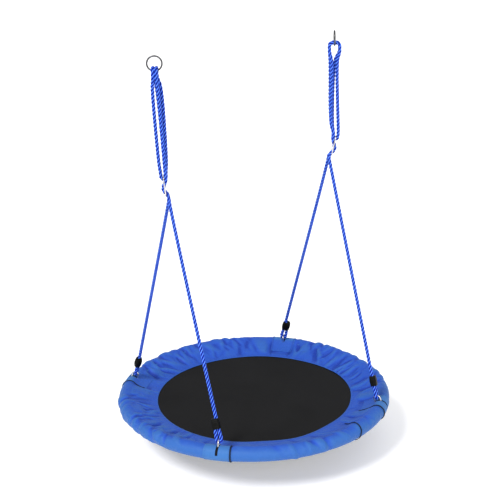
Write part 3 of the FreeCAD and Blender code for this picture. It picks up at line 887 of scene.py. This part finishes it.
def fabric_blue(name, lit_blue):
    """Coated woven polyester: a fine weave, faint mottling, painted shade in its creases and
    painted light on its ridges.

    The mesh's painted shading is 0 in deep folds, WEB_TONE on the web and 1 on the padding, where
    the colour is painted light.
    """
    mat, tree, shader = material(name, roughness=0.55, specular=0.18, sheen=0.12)
    shader.inputs["Sheen Tint"].default_value = (0.3, 0.6, 1.0, 1)
    where, threads = weave(tree, 320)
    mottle = noise(tree, where, Scale=11, Detail=5, Roughness=0.6)
    shape = node(tree, "ShaderNodeNewGeometry")
    # painted shade in concave creases and painted light on convex ridges, from the mesh's
    # pointiness
    crease_shade = centred(tree, shape.outputs["Pointiness"], 3.0)
    level = math_node(tree, "ADD", centred(tree, mottle, 0.35), crease_shade)
    # the mesh's painted shading: painted shade in folds and on the web, painted light on the
    # padding
    depth = node(tree, "ShaderNodeAttribute", attribute_name="painted_shading")
    level = math_node(tree, "ADD", level, depth.outputs["Fac"])
    stops = [(0.0, FOLD_SHADE_BLUE), (WEB_TONE, WEB_SHADE_BLUE), (1.0, lit_blue)]
    colour_by(tree, shader, level, stops)
    weft = bump(tree, shader, threads, 0.25, 0.0002)
    fine = bump(tree, shader, noise(tree, where, Scale=140, Detail=3), 0.15, 0.001, weft)
    slack = noise(tree, where, Scale=38, Detail=4, Roughness=0.55, Distortion=0.8)
    bump(tree, shader, slack, 0.6, 0.008, fine)
    return mat


def plain_material(
    name, colour, roughness, metallic=0.0, grain=200, depth=0.0003, vary=0.15, specular=0.2
):
    """A material with fine grain, slight colour variation and uneven gloss."""
    mat, tree, shader = material(name, roughness=roughness, metallic=metallic, specular=specular)
    fine = noise(tree, node(tree, "ShaderNodeTexCoord"), Scale=grain, Detail=4, Roughness=0.6)
    dark = tuple(c * (1 - vary) for c in colour)
    light = tuple(min(1, c * (1 + vary)) for c in colour)
    colour_by(tree, shader, fine, [(0.3, dark), (0.7, light)])
    limits = {"To Min": roughness * 0.8, "To Max": min(1, roughness * 1.25)}
    gloss = node(tree, "ShaderNodeMapRange", **limits)
    tree.links.new(fine, gloss.inputs["Value"])
    tree.links.new(gloss.outputs["Result"], shader.inputs["Roughness"])
    bump(tree, shader, fine, 0.3, depth)
    return mat


def panel_material():
    """Black polypropylene weave, open enough to show its grid close up."""
    mat, tree, shader = material("panel_weave", roughness=0.85, specular=0.06)
    where, threads = weave(tree, 160)
    cloud = noise(tree, where, Scale=5, Detail=3)
    level = math_node(tree, "MULTIPLY", threads, math_node(tree, "ADD", cloud, 0.5))
    stops = [(0.1, (0.006, 0.006, 0.0062)), (0.9, (0.015, 0.015, 0.0155))]
    colour_by(tree, shader, level, stops)
    bump(tree, shader, threads, 0.5, 0.0004)
    return mat


# cloth hidden under the hem, and the ripples' depth on the panel and at its rim
PANEL_MARGIN = 0.024
PANEL_TUG = 0.0011
RIM_TUG = 0.0008


def make_panel():
    """The black centre panel: a stretched sheet that sags a little, its rim under the hem."""
    around, rings = 180, 26
    reach = PANEL_R + PANEL_MARGIN
    low = PANEL_LOW.z + 0.0024
    top = PANEL_RIM_Z - 0.0008
    vertices = [(0, 0, low)]
    for k in range(1, rings + 1):
        share = k / rings
        for a in range(around):
            angle = 2 * pi * a / around
            tug = PANEL_TUG * sin(9 * angle + 1) * share**3
            tug += RIM_TUG * sin(17 * angle) * share**6
            z = low + (top - low) * min(1, share * reach / PANEL_R) ** 2 - abs(tug)
            z -= max(0, share * reach - PANEL_R - PANEL_MARGIN / 2) * 0.15
            vertices.append((reach * share * cos(angle), reach * share * sin(angle), z))
    faces = [(0, 1 + a, 1 + (a + 1) % around) for a in range(around)]
    for k in range(rings - 1):
        for a in range(around):
            b = (a + 1) % around
            base = 1 + k * around
            faces.append((base + a, base + around + a, base + around + b, base + b))
    panel = make_object("centre_panel_cloth", vertices, faces, panel_material())
    thicken(panel, 0.0014, -1)
    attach(panel, "seat")
    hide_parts("centre_panel")


def ring_band(name, radius, begin, end, mat, steps):
    """A strip that runs round the whole seat between two angles of the padded section."""
    around = 240
    vertices = []
    for k in range(around):
        turn = 2 * pi * k / around
        for j in range(steps + 1):
            r, z = on_pad(radius, radians(begin + (end - begin) * j / steps))
            vertices.append((r * cos(turn), r * sin(turn), z + SEAT_Z))
    band = make_object(name, vertices, grid_faces(around, steps + 1), mat)
    thicken(band, 0.0012, -1)
    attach(band, "seat")
    return band


def make_padding():
    """The foam that shows through the slots, and the tape that closes the cover underneath."""
    foam_mat = plain_material("foam_black", (0.02, 0.02, 0.022), 0.9, grain=400)
    foam = ring_band("foam_padding", SHOWN_FOAM_R, 0, 360, foam_mat, 32)
    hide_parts(*[f"{place}_foam_sleeve" for place in EYE_ANGLES])
    tape_mat = plain_material("tape_loop", (0.012, 0.012, 0.014), 0.85, grain=900, depth=0.0006)
    tape = ring_band("closure_tape_band", TAPE_R, 199, 245, tape_mat, 8)
    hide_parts("cover_closure_tape")


# ------------ patches, near-black edge strips, stitching

MEET_R = on_pad(FABRIC_R, WEB_LIFT)[0]
SLOT_HALF = 0.0048
SLOT_REACH = (-0.002, 0.062)
PATCH_REACH = (-0.052, FABRIC_R * radians(225))
# a ray to the cover starts this far off it, and goes this far
RAY_START = 0.05
RAY_LENGTH = 0.09


def cover_spot(surface, degrees, reach, lift=0.0):
    """A point on the draped cover and its way out.

    reach is metres of cloth outward from where the web meets the padding, over the top and down.
    """
    turn = radians(degrees)
    radial = Vector((cos(turn), sin(turn), 0))
    if reach >= 0:
        roll = WEB_LIFT - reach / FABRIC_R
        heart = radial * RING_R + UP * SEAT_Z
        out = radial * cos(roll) + UP * sin(roll)
        nominal = heart + out * FABRIC_R
    else:
        out = UP
        nominal = radial * (MEET_R + reach) + UP * PANEL_RIM_Z
    hit = surface.ray_cast(nominal + out * RAY_START, -out, RAY_LENGTH)[0]
    return (hit or nominal) + out * lift, out


def strip(name, surface, edges, reaches, lift, thickness, mat, hole=None):
    """A strip of cloth laid on the cover; edges(reach) gives the angles across it at each reach.

    hole(i, j) says whether the quad in row i and column j is left out.
    """
    rows = [[cover_spot(surface, turn, at, lift)[0] for turn in edges(at)] for at in reaches]
    wide = len(rows[0])
    faces = []
    for i in range(len(rows) - 1):
        for j in range(wide - 1):
            if not (hole and hole(i, j)):
                a, b = i * wide + j, (i + 1) * wide + j
                faces.append((a, a + 1, b + 1, b))
    made = make_object(name, [v for row in rows for v in row], faces, mat)
    thicken(made, thickness, 0)
    edge = made.modifiers.new("edge", "BEVEL")
    edge.width = thickness * 0.3
    edge.segments = 2
    edge.limit_method = "ANGLE"
    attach(made, "seat")
    return made


def spread(low, high, count):
    """Evenly spaced numbers from low to high."""
    return [low + (high - low) * i / (count - 1) for i in range(count)]


def make_patch(surface, place, mats):
    """A patch over an eye, with the slot that the eye stands in and a near-black sheet in it:
    painted shade for the shadow inside the slot.
    """
    eye = EYE_ANGLES[place]
    slot = math.degrees(SLOT_HALF / RING_R)
    beside, before, along = 9, 14, 18
    turns = spread(-PATCH_HALF_DEGREES, -slot, beside) + spread(-slot, slot, 3)[1:]
    turns += spread(slot, PATCH_HALF_DEGREES, beside)[1:]
    reaches = spread(PATCH_REACH[0], SLOT_REACH[0], before) + spread(*SLOT_REACH, along)[1:]
    reaches += spread(SLOT_REACH[1], PATCH_REACH[1], 16)[1:]

    def hole(i, j):
        return beside - 1 <= j <= beside and before - 1 <= i < before + along - 2

    def edges(_reach):
        return [eye + turn for turn in turns]

    patch = strip(f"{place}_patch", surface, edges, reaches, 0.0011, 0.0012, mats["patch"], hole)
    # painted shade on the patch's part over the web, painted light where it lies on the padding
    painted_levels = [min(1, max(WEB_TONE + 0.12, WEB_TONE + 0.1 + reach / 0.03)) for reach in reaches]
    set_values(patch, "painted_shading", np.repeat(painted_levels, len(turns)))
    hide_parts(f"{place}_eye_patch")

    # painted shade: a near-black sheet under the slot, standing for the shadow inside it
    def slot_shade_edges(_reach):
        return spread(eye - slot * 1.6, eye + slot * 1.6, 5)

    reaches = spread(SLOT_REACH[0] - 0.004, SLOT_REACH[1] + 0.004, 24)
    name = f"{place}_slot_shade_sheet"
    slot_shade = strip(name, surface, slot_shade_edges, reaches, 0.0002, 0.0003, mats["slot_shade"])


# a stitch's length, the gap to the next one, and half its thickness; its lift on a patch
STITCH = (0.0032, 0.0018, 0.0004)
PATCH_STITCH_LIFT = 0.0017
STITCH_FACES = ((0, 1, 3), (1, 2, 3), (0, 4, 1), (1, 4, 2), (2, 4, 3), (3, 4, 0))
# near-black strips along edges: (name, degrees at the web, degrees underneath, bend, width)
DARK_EDGES = (
    ("left_rear", 140.3, 140.8, 1.5, 0.0052),
    ("left_front", 230.5, 230.5, -0.5, 0.006),
    ("right_front", 309.6, 309.2, -3.5, 0.0065),
    ("front_joint", 289.6, 286.8, 1.5, 0.0048),
)


def make_edge_strip(name, surface, begin, end, bend, mat, width, reach=(-0.050, 0.128)):
    """A narrow strip over the padding; bend is how many degrees it leans on the web."""

    def edges(at):
        middle = begin + (end - begin) * max(0.0, at) / reach[1] + bend * max(0.0, -at) / 0.05
        taper = 1.0 if at > -0.03 else max(0.25, (at + 0.06) / 0.03)
        half = math.degrees(width / 2 / RING_R) * taper
        return spread(middle - half, middle + half, 4)

    made = strip(name, surface, edges, spread(*reach, 60), 0.0026, 0.0022, mat)


def stitch_rows(name, surface, rows, mat):
    """Short threads along rows on the cover; each row is a list of (degrees, reach, lift)."""
    length, gap, half = STITCH
    vertices = []
    faces = []
    for row in rows:
        spots = [cover_spot(surface, *place) for place in row]
        run = [0.0]
        for (a, _), (b, _) in zip(spots, spots[1:]):
            run.append(run[-1] + (b - a).length)
        at = gap
        k = 0
        while at + length < run[-1]:
            ends = []
            for where in (at, at + length):
                while run[k + 1] < where:
                    k += 1
                share = (where - run[k]) / (run[k + 1] - run[k])
                ends.append(spots[k][0].lerp(spots[k + 1][0], share))
            out = spots[k][1]
            side = (ends[1] - ends[0]).cross(out).normalized() * half
            base = len(vertices)
            middle = (ends[0] + ends[1]) / 2 + out * half * 1.6
            vertices += [ends[0], middle - side, ends[1], middle + side, middle - out * half * 2.4]
            faces += [(base + a, base + b, base + c) for a, b, c in STITCH_FACES]
            at += length + gap
    made = make_object(name, vertices, faces, mat)
    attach(made, "seat")


def make_trims(cover):
    """Everything sewn on the draped cover."""
    bpy.context.view_layer.update()
    surface = BVHTree.FromObject(cover, bpy.context.evaluated_depsgraph_get())
    mats = {
        "patch": fabric_blue("patch_polyester", PATCH_LIT_BLUE),
        # painted shade: the near-black sheet in the eye slots
        "slot_shade": plain_material("slot_shadow", (0.004, 0.004, 0.005), 0.95, grain=500),
        "dark_edge": plain_material("dark_edge_strip", (0.006, 0.012, 0.03), 0.7, 0, 800, 0.0004),
        "thread": plain_material("thread_blue", (0.02, 0.06, 0.36), 0.5, grain=900),
    }
    for place in EYE_ANGLES:
        make_patch(surface, place, mats)
    # near-black strips along the patches' edges and across the front joint
    for name, begin, end, bend, width in DARK_EDGES:
        make_edge_strip(f"{name}_binding", surface, begin, end, bend, mats["dark_edge"], width)
    for name, at in (("low", 39.9), ("high", 50.2)):
        name = f"right_rear_seam_{name}"
        make_edge_strip(name, surface, at, at, 0, mats["thread"], 0.0022, (-0.09, 0.03))
    rows = []
    for inset in (0.005, 0.011):
        inward = inset - MEET_R
        rows.append([(t, hem_radius(radians(t)) + inward, 0.0) for t in range(0, 361, 2)])
    side = PATCH_HALF_DEGREES - 0.5
    inner, outer = PATCH_REACH[0] + 0.004, PATCH_REACH[1] - 0.004
    for eye in EYE_ANGLES.values():
        for inset in (0, 0.35):
            for sign in (-1, 1):
                turn = eye + sign * (side - inset)
                rows.append([(turn, at, PATCH_STITCH_LIFT) for at in spread(inner, outer, 50)])
        rows.append([(eye + t, inner, PATCH_STITCH_LIFT) for t in spread(-side, side, 9)])
    stitch_rows("cover_stitching", surface, rows, mats["thread"])


# ------------ steel and plastic


def steel(name, colour, roughness, streak=60):
    """Zinc-plated steel: metallic, faintly spangled, with fine scratches."""
    return plain_material(name, colour, roughness, 1.0, streak, vary=0.25, specular=0.5)


# half width of a clamp in its middle and at its ends, and how much thinner than wide it is
CLAMP_HALF = 0.0160
CLAMP_END = 0.0146
CLAMP_FLAT = 0.0026
BARREL_BULGE = 0.0016
CLAMP_TAPER = 0.0006
# where along a clamp its grooves are: on a rear barrel (True) or a front block (False)
GROOVES = {True: (0.16, 0.84), False: (0.12, 0.30, 0.70, 0.88)}
GROOVE_DEPTH = 0.0007
GROOVE_WIDTH = 0.022
CLAMP_AROUND = 28
CLAMP_STEPS = 36


def clamp_section(across, face, centre, half_wide, half_thick, square):
    """A closed ring of points on a superellipse; square is its exponent."""
    ring = []
    for k in range(CLAMP_AROUND):
        turn = 2 * pi * k / CLAMP_AROUND
        c, s = cos(turn), sin(turn)
        wide = math.copysign(abs(c) ** (2 / square), c) * half_wide
        thick = math.copysign(abs(s) ** (2 / square), s) * half_thick
        ring.append(centre + across * wide + face * thick)
    return ring


def make_clamp(place, mat):
    """A moulded shell round the leg and its tail: a barrel at the rear, a ribbed block in front."""
    _split, bar, up, across = leg_frame(place)
    face = up.cross(across)
    barrel = place.endswith("rear")
    middle = CLAMP_HALF + (BARREL_BULGE if barrel else 0)
    # each section's place, half width, half thickness and squareness
    sections = []
    for i in range(CLAMP_STEPS + 1):
        t = i / CLAMP_STEPS
        belly = sin(pi * t) ** 0.75
        end = CLAMP_END - CLAMP_TAPER * t
        wide = end + (middle - end) * belly
        thick = wide - CLAMP_FLAT
        for groove in GROOVES[barrel]:
            depth = GROOVE_DEPTH * math.exp(-(((t - groove) / GROOVE_WIDTH) ** 2))
            wide -= depth
            thick -= depth
        at = bar + up * (CLAMP_START + CLAMP_LENGTH * t)
        if i == 0:
            sections.append((at + up * 0.0015, wide * 0.55, thick * 0.5, 2.4))
            sections.append((at, wide * 0.9, thick * 0.88, 2.6))
        sections.append((at + up * 0.0006, wide, thick, 2.5 if barrel else 4.6))
    sections.append((at + up * 0.0012, wide * 0.9, thick * 0.88, 2.6))
    sections.append((at, wide * 0.55, thick * 0.5, 2.4))
    vertices = [v for section in sections for v in clamp_section(across, face, *section)]
    faces = tube_faces(len(sections), CLAMP_AROUND)
    shell = make_object(f"{place}_clamp_shell", vertices, faces, mat)
    shell.modifiers.new("finer", "SUBSURF").render_levels = 1
    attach(shell, place.split("_")[0] + "_rope")
    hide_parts(f"{place}_clamp_cover")


def finish_cad_nodes():
    """Clamp shells for the plain CAD ones, and better materials for the steel that stays."""
    plastic = plain_material("moulded_black", (0.002, 0.0022, 0.002), 0.5, grain=500, specular=0.1)
    for place in EYE_ANGLES:
        make_clamp(place, plastic)
    eye_steel = steel("eye_steel", (0.62, 0.61, 0.62), 0.25)
    looks = {
        "bright_steel": steel("zinc_steel", (0.10, 0.10, 0.105), 0.28),
        "tube_steel": steel("galvanised_tube", (0.42, 0.43, 0.44), 0.45, 25),
        "ferrule_steel": steel("pressed_ferrule", (0.40, 0.40, 0.41), 0.4),
    }
    for part in frame["record"]["subparts"]:
        look = looks.get(part["material_slot"])
        if part["node"].endswith(("frame_eye", "adjuster_plate")):
            look = eye_steel
        if look:
            slots = nodes[part["node"]].data.materials
            slots.clear()
            slots.append(look)


# ------------ floor, light

FLOOR_HALF = 40
FLOOR_DROP = 0.16


def make_stage():
    """A white floor a little below the seat, faintly bright by itself as a lit backdrop is."""
    half = FLOOR_HALF
    corners = [(-half, -half, 0), (half, -half, 0), (half, half, 0), (-half, half, 0)]
    floor = make_object("floor", corners, [(0, 1, 2, 3)], smooth=False)
    floor.location.z = RIM_LOW.z - FLOOR_DROP
    mat, _tree, shader = material("floor_white", roughness=0.9, specular=0.1)
    shader.inputs["Base Color"].default_value = (0.85, 0.85, 0.85, 1)
    shader.inputs["Emission Color"].default_value = (1, 1, 1, 1)
    shader.inputs["Emission Strength"].default_value = 0.3
    floor.data.materials.append(mat)


def add_sun(name, azimuth, elevation, strength, width):
    """A soft distant light from a direction in degrees."""
    back = direction(radians(azimuth), radians(elevation))
    data = bpy.data.lights.new(name, "SUN")
    data.energy = strength
    data.angle = radians(width)
    add_object(name, data).rotation_euler = back.to_track_quat("Z", "Y").to_euler()


def make_light():
    """An even white sky with three soft suns."""
    world = bpy.data.worlds.new("studio")
    world.use_nodes = True
    sky = world.node_tree.nodes["Background"].inputs
    sky["Color"].default_value = (1, 1, 1, 1)
    sky["Strength"].default_value = 0.5
    scene.world = world
    add_sun("key", -66, 46, 2.5, 16)
    add_sun("front", -12, 22, 1.3, 30)
    add_sun("fill", 60, 65, 0.4, 60)


make_camera()
make_stage()
make_light()
make_ropes()
seat_cover = make_cover()
make_panel()
make_padding()
make_trims(seat_cover)
finish_cad_nodes()

scene.view_settings.view_transform = "Standard"
